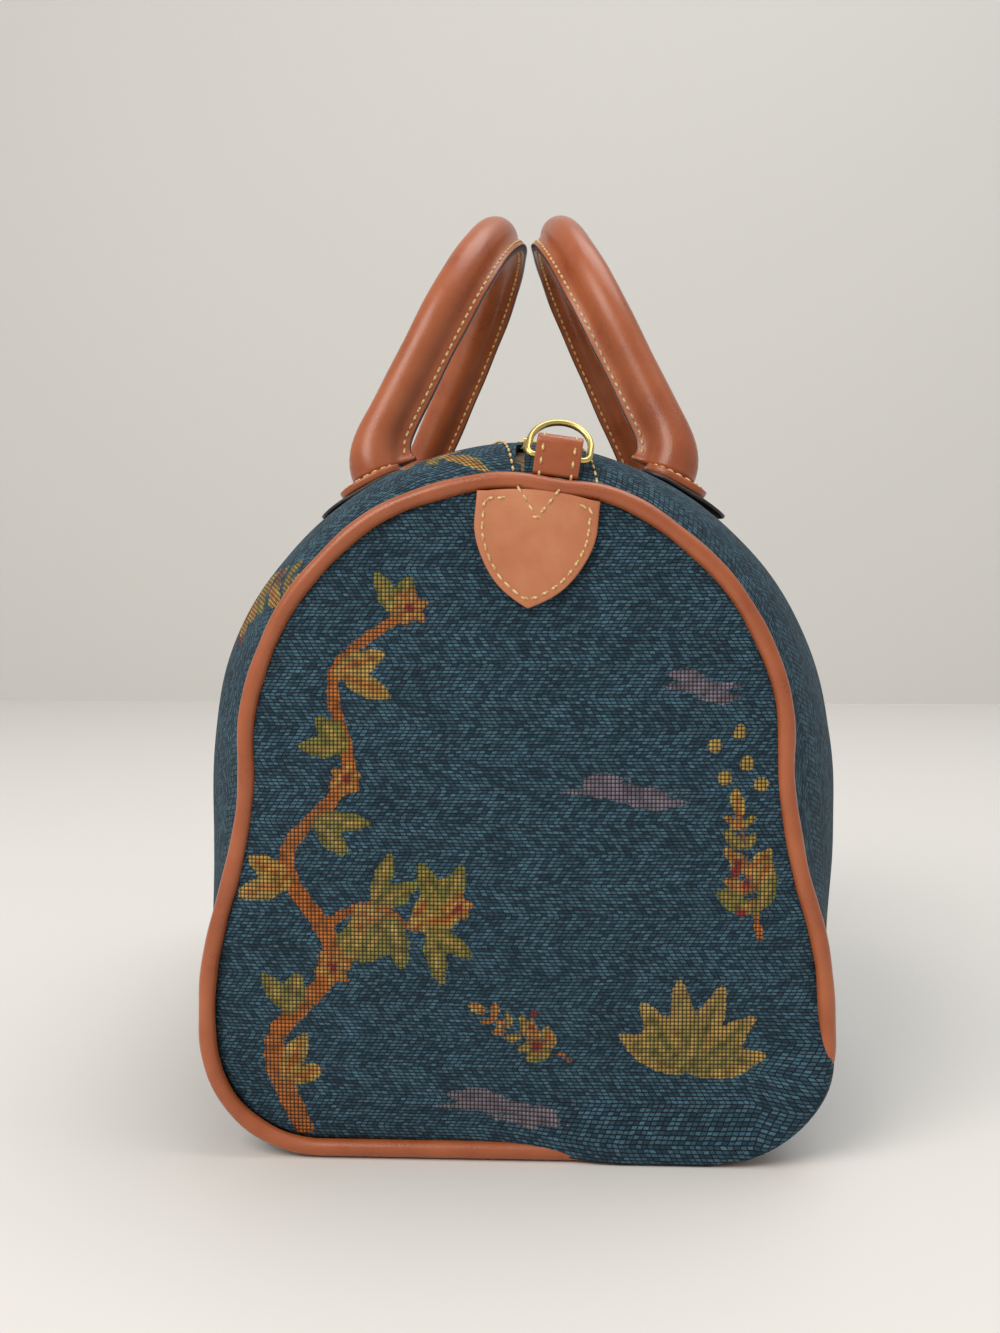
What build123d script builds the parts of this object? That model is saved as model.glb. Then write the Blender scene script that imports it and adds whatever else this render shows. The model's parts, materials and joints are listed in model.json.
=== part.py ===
from build123d import *
import math
import os

# A small barrel handbag of woven cloth with tan leather piping, two rolled handles and a top zip.
# X runs across the bag, Y along it with the near end at -Y, Z up from the surface it stands on.
# All lengths are millimetres and all angles degrees.

# Cloth body: the two end outlines and the fuller section between them
bag_length = 300.0
end_width = 185.0
end_height = 199.0
crown_radius = 80.0
corner_radius = 36.0
belly_width = 209.0
belly_height = 210.5
belly_base_width = 92.0
belly_lower_fullness = 2.6
belly_upper_fullness = 2.1
side_swell_power = 4
crown_swell_power = 16
cloth_thickness = 1.6
end_dome = 4.5

# Lining
lining_thickness = 0.8

# Piping round each end
piping_diameter = 5.0
piping_wall = 1.1
piping_floor_gap = 0.3
cloth_behind_piping = 1.1

# Zip
zip_length = 212.0
zip_tape_width = 15.0
zip_tape_thickness = 0.8
zip_slot_width = 13.0
zip_slot_margin = 3.0
tooth_pitch = 2.8
tooth_length = 1.1
tooth_height = 2.6
tooth_reach = 0.9
tooth_grip = 1.9
stop_length = 2.6
slider_length = 11.0
slider_plate = 1.0
slider_flange = 0.9
slider_corner = 2.5
slider_flange_length = 5.0
bail_width = 3.0
bail_wall = 0.9
pull_length = 24.0
pull_width = 7.0
pull_thickness = 1.3
pull_pin_diameter = 1.4
pull_corner = 3.1
pull_neck_width = 6.0
pull_hole_diameter = 2.8

# Leather tab on each end panel
tab_width = 35.0
tab_height = 34.0
tab_shoulder = 10.0
tab_thickness = 1.8
tab_elbow_half_width = 14.0
tab_elbow_rise = 9.7

# Strap ring and its leather loop at each end of the zip
loop_width = 13.2
loop_rise = 12.0
strap_leather = 1.4
ring_wire = 1.9
ring_bar = 13.8
ring_bend = 2.0
ring_height = 13.8
ring_rest_angle = 38.0
ring_bar_rise = 5.6

# Rolled handles
handle_diameter = 13.5
handle_wall = 1.9
flange_width = 4.0
flange_thickness = 3.2
flange_start = 9.0
knuckle_width = 15.0
handle_spacing = 142.0
handle_top_radius = 62.0
handle_top = 303.8
handle_foot_x = 47.0
foot_tab_thickness = 2.4
foot_tab_across = 26.0
foot_tab_up = 8.0
foot_tab_down = 13.0
foot_tab_corner = 8.0
foot_patch_thickness = 1.2
foot_patch_across = 31.0
foot_patch_up = 9.5
foot_patch_down = 22.0
foot_patch_corner = 9.0

# How far the slack top has settled towards +X
top_shift = 2.5
near_loop_shift = 11.5
near_tab_shift = 7.5

# Clearances between neighbouring pieces
seat_gap = 0.3
sewn_gap = 0.2
core_gap = 0.2
pin_gap = 0.2
slider_play = 0.5
tape_play = 0.45
knuckle_gap = 0.4
lining_end_gap = 2.0

# Sizes that follow from those above
crown_centre_z = end_height - crown_radius
piping_radius = piping_diameter / 2
piping_y = bag_length / 2 - end_dome
seam_y = piping_y - piping_radius - sewn_gap
belly_centre_z = belly_height / 2
stations = [0.0, 0.42, 0.67, 0.79, 0.87, 0.935, 0.977]


def end_outline_point(step, inset):
    """One of eight points up the right half of the end outline, moved inwards by inset."""
    hip = end_width / 2
    slope_run = hip - crown_radius
    slope_drop = crown_centre_z - corner_radius
    slope_radius = (slope_run**2 + slope_drop**2) / (4 * slope_run)
    corner_x = hip - corner_radius
    if step == 0:
        return corner_x, inset
    if step == 1:
        reach = (corner_radius - inset) * math.sqrt(0.5)
        return corner_x + reach, corner_radius - reach
    if step == 2:
        return hip - inset, corner_radius
    if step == 3:
        turn = math.asin(slope_drop / 2 / slope_radius)
        reach = slope_radius - inset
        return hip - slope_radius + reach * math.cos(turn), corner_radius + reach * math.sin(turn)
    angle = math.radians((step - 4) * 30)
    reach = crown_radius - inset
    return reach * math.cos(angle), crown_centre_z + reach * math.sin(angle)


def belly_outline_point(step, inset):
    """The matching point of the full section at mid length."""
    if step == 0:
        return belly_base_width / 2, inset
    angle = math.radians([-90, -60, -32, -12, 8, 33, 60, 90][step])
    fullness = belly_upper_fullness if angle > 0 else belly_lower_fullness
    across = max(math.cos(angle), 0) ** (2 / fullness)
    up = abs(math.sin(angle)) ** (2 / fullness)
    normal_x = across ** (fullness - 1) / (belly_width / 2)
    normal_z = up ** (fullness - 1) / belly_centre_z
    share = inset / math.hypot(normal_x, normal_z)
    x = belly_width / 2 * across - normal_x * share
    z = belly_centre_z * up - normal_z * share
    return x, belly_centre_z + math.copysign(z, angle)


def wall(y, inset):
    """The right half of the cloth body's outline at y, moved inwards by inset."""
    share = abs(y) / seam_y
    side = 1 - share**side_swell_power
    crown = 1 - share**crown_swell_power
    right = []
    for step in range(8):
        end_x, end_z = end_outline_point(step, inset + cloth_behind_piping)
        belly_x, belly_z = belly_outline_point(step, inset)
        end_z = inset if step == 0 else end_z
        x = end_x + (belly_x - end_x) * side
        z = end_z + (belly_z - end_z) * crown
        right.append((x, y, z))
    right[7] = (0, y, right[7][2])
    return Spline(*right, tangents=[(1, 0, 0), (-1, 0, 0)], tangent_scalars=[1, 1])


def section(y, inset):
    """The whole outline at y as a face."""
    right = wall(y, inset)
    base = Line((-(right @ 0).X, y, inset), right @ 0)
    return make_face([base, right, mirror(right, Plane.YZ)])


def barrel(inset, half_length):
    """The solid inside the cloth body's surface, moved inwards by inset."""
    places = [share * seam_y for share in stations] + [half_length]
    places = [-y for y in reversed(places[1:])] + places
    return loft([section(y, inset) for y in places], ruled=True)


def end_outline(inset):
    """The flat outline of an end, moved inwards by inset, as a closed wire in local X and Y."""
    hip = end_width / 2
    slope_run = hip - crown_radius
    slope_drop = crown_centre_z - corner_radius
    slope_radius = (slope_run**2 + slope_drop**2) / (4 * slope_run)
    turn = math.degrees(math.asin(slope_drop / 2 / slope_radius))
    corner_x = hip - corner_radius
    waist_x = crown_radius + slope_radius
    corner = CenterArc((corner_x, corner_radius), corner_radius - inset, -90, 90)
    hip_arc = CenterArc((hip - slope_radius, corner_radius), slope_radius - inset, 0, turn)
    waist = CenterArc((waist_x, crown_centre_z), slope_radius + inset, 180 + turn, -turn)
    crown = CenterArc((0, crown_centre_z), crown_radius - inset, 0, 180)
    right = [corner, hip_arc, waist]
    left = [mirror(edge, Plane.YZ) for edge in right]
    base = Line((-corner_x, inset), (corner_x, inset))
    return Wire([base.edge()] + [piece.edge() for piece in right + [crown] + left])


def on_end(shape):
    """Stands a flat shape up on the near end, its local Y along Z."""
    return Plane(origin=(0, 0, piping_floor_gap), x_dir=(1, 0, 0), z_dir=(0, -1, 0)) * shape


def far(shape):
    """The same piece at the far end."""
    return mirror(shape, Plane.XZ)


def turn_on_crown(shape, shift):
    """Moves a piece sideways by shift, round the centre of the crown."""
    angle = math.degrees(math.asin(shift / crown_radius))
    axis = Pos(0, 0, crown_centre_z)
    return axis * Rot(0, angle, 0) * axis.inverse() * shape


def domed_plate(outline, outer_offset, thickness):
    """A plate that follows the near end's shallow dome, outer_offset in front of the cloth."""
    half = end_height / 2
    dome_radius = (half**2 + end_dome**2) / (2 * end_dome)
    centre = Pos(0, dome_radius - bag_length / 2, half)
    outer = centre * Sphere(dome_radius + outer_offset)
    inner = centre * Sphere(dome_radius + outer_offset - thickness)
    prism = extrude(on_end(outline), amount=bag_length / 2 + 3 * end_dome)
    prism -= Pos(0, 0, half) * Box(4 * end_width, bag_length - 8 * end_dome, 4 * end_height)
    return prism & (outer - inner)


def save(name, shape):
    """Writes one sub-part."""
    solids = shape.solids()
    piece = solids[0] if len(solids) == 1 else Compound(children=list(solids))
    export_step(piece, "parts/" + name + ".step")


# Cloth body, lining and zip slot
def zip_opening(width):
    length = zip_length + 2 * zip_slot_margin
    return Pos(top_shift, 0, belly_height) * Box(width, length, belly_height / 3)


def make_body_panel():
    shell = barrel(0, seam_y) - barrel(cloth_thickness, seam_y)
    return shell - zip_opening(zip_slot_width)


tape_inset = cloth_thickness + seat_gap
lining_inset = tape_inset + zip_tape_thickness + seat_gap


def make_lining():
    half_length = seam_y - lining_end_gap
    outer = barrel(lining_inset, half_length)
    inner = barrel(lining_inset + lining_thickness, half_length - lining_thickness)
    return outer - inner - zip_opening(zip_slot_width + 2 * sewn_gap + 2 * tooth_grip)


# End panels, piping and end tabs
def make_end_panel():
    return domed_plate(make_face(end_outline(piping_diameter + sewn_gap)), 0, cloth_thickness)


def piping_tube(radius):
    path = Pos(0, -piping_y, 0) * on_end(end_outline(piping_radius))
    start = Plane(origin=path @ 0, z_dir=path % 0)
    return sweep(start * Circle(radius), path=path)


def make_piping():
    return piping_tube(piping_radius) - piping_tube(piping_radius - piping_wall)


def make_piping_core():
    return piping_tube(piping_radius - piping_wall - core_gap)


def make_end_tab(shift):
    half = tab_width / 2
    top = end_height
    tip = end_height - piping_diameter - tab_height
    shoulder = tip + tab_height - tab_shoulder
    elbow = (tab_elbow_half_width, tip + tab_elbow_rise)
    right = ThreePointArc((0, tip), elbow, (half, shoulder))
    left = ThreePointArc((-half, shoulder), (-elbow[0], elbow[1]), (0, tip))
    sides = Polyline((half, shoulder), (half, top), (-half, top), (-half, shoulder))
    outline = make_face([right.edge(), left.edge()] + list(sides.edges()))
    tab = domed_plate(outline, seat_gap + tab_thickness, tab_thickness)
    inside = extrude(on_end(make_face(end_outline(piping_diameter + sewn_gap))), amount=bag_length)
    return turn_on_crown(tab, shift) & inside


# Strap loops and rings
loop_gap = ring_wire + 2 * seat_gap
loop_half = loop_gap / 2 + strap_leather
loop_y = -(seam_y - loop_half + strap_leather / 2)
loop_foot_z = end_height - cloth_behind_piping + piping_floor_gap + seat_gap
ring_bar_z = loop_foot_z + ring_bar_rise


def make_ring_loop(shift, cloth):
    fold_z = loop_foot_z + loop_rise - loop_half
    rise = fold_z - loop_foot_z
    outer = Pos(0, rise / 2) * Rectangle(2 * loop_half, rise) + Pos(0, rise) * Circle(loop_half)
    inner = Pos(0, rise / 2) * Rectangle(loop_gap, rise) + Pos(0, rise) * Circle(loop_gap / 2)
    profile = Plane(origin=(-loop_width / 2, loop_y, loop_foot_z), x_dir=(0, 1, 0), z_dir=(1, 0, 0))
    loop = extrude(profile * (outer - inner), amount=loop_width)
    return turn_on_crown(loop, shift) - cloth


def make_strap_ring(shift):
    half_bar = ring_bar / 2
    side_x = half_bar + ring_bend
    arch_y = ring_height - side_x
    bar = Line((-half_bar, 0), (half_bar, 0))
    right_bend = CenterArc((half_bar, ring_bend), ring_bend, -90, 90)
    right_side = Line((side_x, ring_bend), (side_x, arch_y))
    arch = CenterArc((0, arch_y), side_x, 0, 180)
    left_side = Line((-side_x, arch_y), (-side_x, ring_bend))
    left_bend = CenterArc((-half_bar, ring_bend), ring_bend, 180, 90)
    flat = Wire([e.edge() for e in (bar, right_bend, right_side, arch, left_side, left_bend)])
    lean = math.radians(ring_rest_angle)
    plane = Plane(origin=(0, loop_y, ring_bar_z), x_dir=(1, 0, 0), z_dir=(0, -math.cos(lean), math.sin(lean)))
    path = plane * flat
    start = Plane(origin=path @ 0, z_dir=path % 0)
    return turn_on_crown(sweep(start * Circle(ring_wire / 2), path=path), shift)


# Zip
chain_z = belly_height - tape_inset - zip_tape_thickness / 2


def tape_edge_x():
    """Distance from the chain's middle to the inner edge of each tape."""
    return tooth_reach + sewn_gap


def make_zip_tape(side, above, below):
    """One tape, cut from between the surfaces above and below it."""
    length = zip_length + 4 * zip_slot_margin
    x = top_shift + side * (tape_edge_x() + zip_tape_width / 2)
    strip = Pos(x, 0, belly_height) * Box(zip_tape_width, length, belly_height / 3)
    return (strip & above) - below


def clamped_block(side, length, reach):
    """A block that grips the edge of one tape, its middle at y = 0."""
    inner = -reach
    outer = tape_edge_x() + tooth_grip
    slot_start = tape_edge_x() - sewn_gap
    slot = zip_tape_thickness / 2 + tape_play
    half = tooth_height / 2
    points = [(inner, -half), (outer, -half), (outer, -slot), (slot_start, -slot)]
    points += [(x, -z) for x, z in reversed(points)]
    profile = make_face(Polyline(*[(side * x, z) for x, z in points], close=True))
    standing = Plane(origin=(top_shift, length / 2, chain_z), x_dir=(1, 0, 0), z_dir=(0, -1, 0))
    return extrude(standing * profile, amount=length)


def make_zip_teeth(side):
    tooth = clamped_block(side, tooth_length, tooth_reach)
    lead = zip_length / 2 - stop_length - tooth_pitch
    count = int((2 * lead) // tooth_pitch)
    start = -count * tooth_pitch / 2 + side * tooth_pitch / 4
    return Compound(children=[Pos(0, start + i * tooth_pitch, 0) * tooth for i in range(count + 1)])


def make_zip_top_stops():
    y = -(zip_length / 2 - stop_length / 2)
    stops = [Pos(0, y, 0) * clamped_block(side, stop_length, -sewn_gap) for side in (-1, 1)]
    return Compound(children=stops)


def make_zip_bottom_stop():
    both = clamped_block(1, stop_length, 0) + clamped_block(-1, stop_length, 0)
    return Pos(0, zip_length / 2 - stop_length / 2, 0) * both


slider_travel = zip_length - 2 * stop_length - slider_length - 2 * tooth_pitch
slider_y = -slider_travel / 2
slider_half = tape_edge_x() + tooth_grip + seat_gap + slider_flange
slider_top_z = chain_z + tooth_height / 2 + slider_play + slider_plate
pin_z = slider_top_z + pull_pin_diameter / 2 + pin_gap


def make_zip_slider():
    """Upper and lower plates with their side flanges, and the bail on top."""
    reach = tooth_height / 2 + slider_play
    gap = zip_tape_thickness / 2 + slider_play
    drop = reach - gap
    plate = Pos(0, 0, reach + slider_plate / 2) * Box(2 * slider_half, slider_length, slider_plate)
    plate = fillet(plate.edges().filter_by(Axis.Z), slider_corner)
    upper = plate
    for side in (-1, 1):
        flange_x = side * (slider_half - slider_flange / 2)
        upper += Pos(flange_x, 0, gap + drop / 2) * Box(slider_flange, slider_flange_length, drop)
    lower = mirror(upper, Plane.XY)
    inner = pull_pin_diameter / 2 + pin_gap
    outer = inner + bail_wall
    pin = pin_z - chain_z
    foot = reach + slider_plate - pin
    arch = Circle(outer) + Pos(0, foot / 2) * Rectangle(2 * outer, -foot)
    arch -= Circle(inner) + Pos(0, foot / 2) * Rectangle(2 * inner, -foot)
    standing = Plane(origin=(-bail_width / 2, 0, pin), x_dir=(0, 1, 0), z_dir=(1, 0, 0))
    upper += extrude(standing * arch, amount=bail_width)
    return Pos(top_shift, slider_y, chain_z) * Compound(children=[upper.solid(), lower.solid()])


def make_zip_pull():
    """A flat pull with a window that clears the bail and a cross pin through it."""
    arm_gap = bail_width + 2 * pin_gap
    window_length = pull_pin_diameter + 2 * bail_wall + 2 * pin_gap + seat_gap
    blade = Pos(0, pull_length / 2) * RectangleRounded(pull_width, pull_length, pull_corner)
    blade += Pos(0, pull_corner / 2) * Rectangle(pull_neck_width, pull_corner)
    blade -= Rectangle(arm_gap, 2 * window_length)
    hole = Pos(0, pull_length - pull_width / 2) * Circle(pull_hole_diameter / 2)
    plate = extrude(blade - hole, amount=pull_thickness / 2, both=True)
    knuckle = Rot(0, 90, 0) * Cylinder(pull_thickness / 2, pull_neck_width)
    pin = Rot(0, 90, 0) * Cylinder(pull_pin_diameter / 2, pull_neck_width)
    eye = knuckle - Box(arm_gap, pull_width, pull_width)
    return Pos(top_shift, slider_y, pin_z) * (plate + eye + pin)


# Handles
def foot_surface():
    """Where a foot sits on the cloth, with the outward direction there, for the right handle."""
    outline = wall(handle_spacing / 2, 0)
    low, high = 0.5, 1.0
    for _ in range(40):
        middle = (low + high) / 2
        if (outline @ middle).X < handle_foot_x:
            high = middle
        else:
            low = middle
    along = outline % low
    return outline @ low, Vector(along.Z, 0, -along.X)


foot_point, foot_normal = foot_surface()
foot_stack = seat_gap + foot_patch_thickness + seat_gap + foot_tab_thickness
hinge_height = foot_stack + knuckle_gap + handle_diameter / 2
hinge_point = foot_point + foot_normal * hinge_height
apex_x = handle_diameter / 2 + flange_width + seat_gap
apex_z = handle_top - handle_diameter / 2
arch_height = math.hypot(hinge_point.X - apex_x, apex_z - hinge_point.Z)
handle_lean = math.degrees(math.atan2(hinge_point.X - apex_x, apex_z - hinge_point.Z))


def handle_plane(side):
    """The plane that one handle lies in: local X along the bag, local Y up the handle."""
    lean = math.radians(handle_lean)
    origin = (side * hinge_point.X, 0, hinge_point.Z)
    return Plane(origin=origin, x_dir=(0, 1, 0), z_dir=(math.cos(lean), 0, side * math.sin(lean)))


def handle_path(side, trim):
    """The handle's middle line, with trim left off at each foot."""
    half = handle_spacing / 2
    rise = arch_height - handle_top_radius
    splay = math.acos(handle_top_radius / math.hypot(half, rise)) - math.atan2(rise, half)
    joint_x = handle_top_radius * math.cos(splay)
    joint_y = rise + handle_top_radius * math.sin(splay)
    foot_x = half - trim * math.sin(splay)
    foot_y = trim * math.cos(splay)
    turn = math.degrees(splay)
    near_leg = Line((-foot_x, foot_y), (-joint_x, joint_y))
    arch = CenterArc((0, rise), handle_top_radius, 180 - turn, -(180 - 2 * turn))
    far_leg = Line((joint_x, joint_y), (foot_x, foot_y))
    return handle_plane(side) * Wire([near_leg.edge(), arch.edge(), far_leg.edge()])


def swept(side, trim, profile):
    path = handle_path(side, trim)
    start = Plane(origin=path @ 0, x_dir=handle_plane(side).z_dir, z_dir=path % 0)
    return sweep(start * profile, path=path)


def make_handle_cover(side):
    radius = handle_diameter / 2
    tube = swept(side, 0, Circle(radius))
    reach = radius + flange_width
    flange = swept(side, flange_start, Pos(-side * reach / 2, 0) * Rectangle(reach, flange_thickness))
    cover = tube + flange
    for y in (-handle_spacing / 2, handle_spacing / 2):
        cover += Pos(side * hinge_point.X, y, hinge_point.Z) * Rot(90, 0, 0) * Cylinder(radius, knuckle_width)
    return cover - swept(side, handle_wall, Circle(radius - handle_wall))


def make_handle_core(side):
    return swept(side, handle_wall + core_gap, Circle(handle_diameter / 2 - handle_wall - core_gap))


def foot_plate(above, below, side, end, across, up, down, corner):
    """A plate under one handle foot, cut from between two surfaces round the body."""
    x_dir = Vector(side * foot_normal.Z, 0, -foot_normal.X)
    z_dir = Vector(side * foot_normal.X, 0, foot_normal.Z)
    origin = (side * foot_point.X, end * handle_spacing / 2, foot_point.Z)
    plane = Plane(origin=origin, x_dir=x_dir, z_dir=z_dir)
    outline = Pos((down - up) / 2, 0) * RectangleRounded(up + down, across, corner)
    return (extrude(plane * outline, amount=hinge_height, both=True) & above) - below


def main():
    os.makedirs("parts", exist_ok=True)
    save("body_panel", make_body_panel())
    save("lining", make_lining())
    end_panel = make_end_panel()
    piping = make_piping()
    piping_core = make_piping_core()
    cloth = barrel(-seat_gap, seam_y)
    patch_top = seat_gap + foot_patch_thickness
    patch_above = barrel(-patch_top, seam_y)
    tab_below = barrel(-patch_top - seat_gap, seam_y)
    tab_above = barrel(-foot_stack, seam_y)
    tape_above = barrel(tape_inset, seam_y)
    tape_below = barrel(tape_inset + zip_tape_thickness, seam_y)
    for end, loop_shift, tab_shift in (
        ("near", near_loop_shift, near_tab_shift),
        ("far", top_shift, top_shift),
    ):
        place = far if end == "far" else (lambda shape: shape)
        save("end_panel_" + end, place(end_panel))
        save("piping_" + end, place(piping))
        save("piping_core_" + end, place(piping_core))
        save("end_tab_" + end, place(make_end_tab(tab_shift)))
        save("ring_loop_" + end, place(make_ring_loop(loop_shift, cloth)))
        save("strap_ring_" + end, place(make_strap_ring(loop_shift)))
    for side, name in ((-1, "left"), (1, "right")):
        save("zip_tape_" + name, make_zip_tape(side, tape_above, tape_below))
        save("zip_teeth_" + name, make_zip_teeth(side))
        save("handle_cover_" + name, make_handle_cover(side))
        save("handle_core_" + name, make_handle_core(side))
        for end, end_name in ((-1, "near"), (1, "far")):
            tab = foot_plate(
                tab_above, tab_below, side, end, foot_tab_across, foot_tab_up, foot_tab_down, foot_tab_corner
            )
            patch = foot_plate(
                patch_above, cloth, side, end, foot_patch_across, foot_patch_up, foot_patch_down, foot_patch_corner
            )
            save("handle_tab_" + name + "_" + end_name, tab)
            save("handle_patch_" + name + "_" + end_name, patch)
    save("zip_top_stops", make_zip_top_stops())
    save("zip_bottom_stop", make_zip_bottom_stop())
    save("zip_slider", make_zip_slider())
    save("zip_pull", make_zip_pull())


if __name__ == "__main__":
    main()
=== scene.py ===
# %% [markdown]
# A small barrel handbag: woven denim cloth, tan leather piping and handles, a brass zip.
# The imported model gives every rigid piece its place. This script dresses it: each cloth or leather
# piece is a mesh worked out from a few sizes, and each finish is a tree of shader nodes.

# %% Load the frame
import json
import math

import bmesh
import bpy
import numpy as np
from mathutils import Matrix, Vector


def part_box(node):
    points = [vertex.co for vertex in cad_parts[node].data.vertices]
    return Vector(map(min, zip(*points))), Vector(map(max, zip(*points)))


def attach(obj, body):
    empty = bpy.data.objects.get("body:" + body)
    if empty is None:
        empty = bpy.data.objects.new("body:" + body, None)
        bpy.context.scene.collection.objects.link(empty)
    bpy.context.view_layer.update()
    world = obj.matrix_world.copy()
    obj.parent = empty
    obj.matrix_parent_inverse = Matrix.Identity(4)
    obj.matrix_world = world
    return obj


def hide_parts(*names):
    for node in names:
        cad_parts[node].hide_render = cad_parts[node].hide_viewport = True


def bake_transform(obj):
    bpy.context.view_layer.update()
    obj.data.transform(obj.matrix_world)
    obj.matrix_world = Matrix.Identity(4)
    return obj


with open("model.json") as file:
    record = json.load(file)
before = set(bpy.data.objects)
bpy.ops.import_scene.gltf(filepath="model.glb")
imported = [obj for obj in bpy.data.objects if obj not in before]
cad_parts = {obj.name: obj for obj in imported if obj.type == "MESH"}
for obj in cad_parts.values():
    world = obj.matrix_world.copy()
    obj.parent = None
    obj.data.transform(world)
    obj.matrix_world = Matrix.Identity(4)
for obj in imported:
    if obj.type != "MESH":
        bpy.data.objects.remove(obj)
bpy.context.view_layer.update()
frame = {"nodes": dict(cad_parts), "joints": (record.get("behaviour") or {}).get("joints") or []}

MM = 0.001

# %% [markdown]
# The bag's outline is needed by several pieces, so its sizes come first, in millimetres as a bag
# maker has them. The end is a D with a slightly pinched waist, and the belly is fuller and rounder.

# %% Sizes of the bag
LENGTH = 300.0
END_WIDTH = 185.0
END_HEIGHT = 199.0
CROWN_RADIUS = 80.0
CORNER_RADIUS = 36.0
BELLY_WIDTH = 209.0
BELLY_HEIGHT = 210.5
BELLY_BASE = 92.0
LOWER_FULLNESS = 2.6
UPPER_FULLNESS = 2.1
SIDE_SWELL = 4
CROWN_SWELL = 16
CLOTH = 1.6
END_DOME = 4.5
FLOOR_GAP = 0.3
PIPING_RADIUS = 2.5
BEHIND_PIPING = 1.1
SEAM_Y = LENGTH / 2 - END_DOME - PIPING_RADIUS - 0.2
PIPING_Y = LENGTH / 2 - END_DOME
CROWN_Z = END_HEIGHT - CROWN_RADIUS
TOP_SHIFT = 2.5
ZIP_LENGTH = 212.0
SLOT_HALF = 6.5
NEAR_LOOP_SHIFT = 11.5
NEAR_TAB_SHIFT = 7.5
HANDLE_RADIUS = 6.75
FLANGE_REACH = 10.75
HANDLE_SPACING = 142.0
HANDLE_TOP_RADIUS = 62.0
FOOT_X = 47.0
STITCH_PITCH = 3.1
STITCH_LENGTH = 2.3

# The waist between corner and crown is two arcs that bend opposite ways.
HIP = END_WIDTH / 2
CORNER_X = HIP - CORNER_RADIUS
WAIST_RUN = HIP - CROWN_RADIUS
WAIST_DROP = CROWN_Z - CORNER_RADIUS
WAIST_RADIUS = (WAIST_RUN**2 + WAIST_DROP**2) / (4 * WAIST_RUN)


# %% The flat outline of an end
def end_point(step, inset):
    """A point of the right half of the end outline, for a step from 0 at the base to 7 on top."""
    if step <= 2:
        angle = math.radians(-90 + step * 45)
        reach = CORNER_RADIUS - inset
        return CORNER_X + reach * math.cos(angle), CORNER_RADIUS + reach * math.sin(angle)
    turn = math.asin(WAIST_DROP / 2 / WAIST_RADIUS)
    if step <= 3:
        angle = turn * (step - 2)
        reach = WAIST_RADIUS - inset
        return HIP - WAIST_RADIUS + reach * math.cos(angle), CORNER_RADIUS + reach * math.sin(angle)
    if step <= 4:
        angle = math.pi + turn * (4 - step)
        reach = WAIST_RADIUS + inset
        return CROWN_RADIUS + WAIST_RADIUS + reach * math.cos(angle), CROWN_Z + reach * math.sin(angle)
    angle = math.radians((step - 4) * 30)
    reach = CROWN_RADIUS - inset
    return reach * math.cos(angle), CROWN_Z + reach * math.sin(angle)


def belly_point(step, inset):
    """The matching point of the full section at mid length."""
    if step == 0:
        return BELLY_BASE / 2, inset
    half = BELLY_HEIGHT / 2
    angle = math.radians([-90, -60, -32, -12, 8, 33, 60, 90][step])
    fullness = UPPER_FULLNESS if angle > 0 else LOWER_FULLNESS
    across = max(math.cos(angle), 0) ** (2 / fullness)
    up = abs(math.sin(angle)) ** (2 / fullness)
    normal_x = across ** (fullness - 1) / (BELLY_WIDTH / 2)
    normal_z = up ** (fullness - 1) / half
    share = inset / math.hypot(normal_x, normal_z)
    z = half * up - normal_z * share
    return BELLY_WIDTH / 2 * across - normal_x * share, half + math.copysign(z, angle)


# %% A smooth curve through a few points
def length_along(points):
    """The length of a polyline from its start to each of its points."""
    return np.concatenate([[0], np.cumsum(np.linalg.norm(np.diff(points, axis=0), axis=1))])


def smooth_curve(points, start, end, count):
    """count points on the cubic spline through points, with given end directions."""
    p = np.array(points, float)
    t = length_along(p)
    h = np.diff(t)
    n = len(p)
    a = np.zeros((n, n))
    b = np.zeros_like(p)
    a[0, 0] = a[-1, -1] = 1
    b[0] = np.array(start, float) / np.linalg.norm(start)
    b[-1] = np.array(end, float) / np.linalg.norm(end)
    for i in range(1, n - 1):
        a[i, i - 1], a[i, i], a[i, i + 1] = h[i], 2 * (h[i - 1] + h[i]), h[i - 1]
        b[i] = 3 * (h[i] * (p[i] - p[i - 1]) / h[i - 1] + h[i - 1] * (p[i + 1] - p[i]) / h[i])
    slopes = np.linalg.solve(a, b)
    at = np.linspace(0, t[-1], count)
    k = np.clip(np.searchsorted(t, at, side="right") - 1, 0, n - 2)
    u = ((at - t[k]) / h[k])[:, None]
    w = h[k][:, None]
    return ((2 * u**3 - 3 * u**2 + 1) * p[k] + (u**3 - 2 * u**2 + u) * w * slopes[k]
            + (3 * u**2 - 2 * u**3) * p[k + 1] + (u**3 - u**2) * w * slopes[k + 1])


def right_half(y, inset):
    """The right half of the body's outline at y, base to crown, as dense points."""
    share = min(abs(y) / SEAM_Y, 1)
    side, crown = 1 - share**SIDE_SWELL, 1 - share**CROWN_SWELL
    points = []
    for step in range(8):
        end_x, end_z = end_point(step, inset + BEHIND_PIPING)
        belly_x, belly_z = belly_point(step, inset)
        end_z = inset if step == 0 else end_z
        points.append((end_x + (belly_x - end_x) * side, end_z + (belly_z - end_z) * crown))
    points[7] = (0, points[7][1])
    return smooth_curve(points, (1, 0), (-1, 0), 120)


def whole_outline(y, inset=0.0):
    """The body's whole outline at y, from the crown down the right side, under and up the left."""
    right = right_half(y, inset)
    base = np.linspace(right[0], [-right[0][0], right[0][1]], 30)[1:-1]
    return np.vstack([right[::-1], base, right * [-1, 1]])


def resample(points, count, start=0.0, end=0.0):
    """count points evenly along a polyline, with a length left off at each end."""
    run = length_along(points)
    at = np.linspace(start, run[-1] - end, count)
    return np.stack([np.interp(at, run, points[:, i]) for i in range(points.shape[1])], 1), at


print("outline at mid length", np.round(whole_outline(0).max(0), 1))

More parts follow.
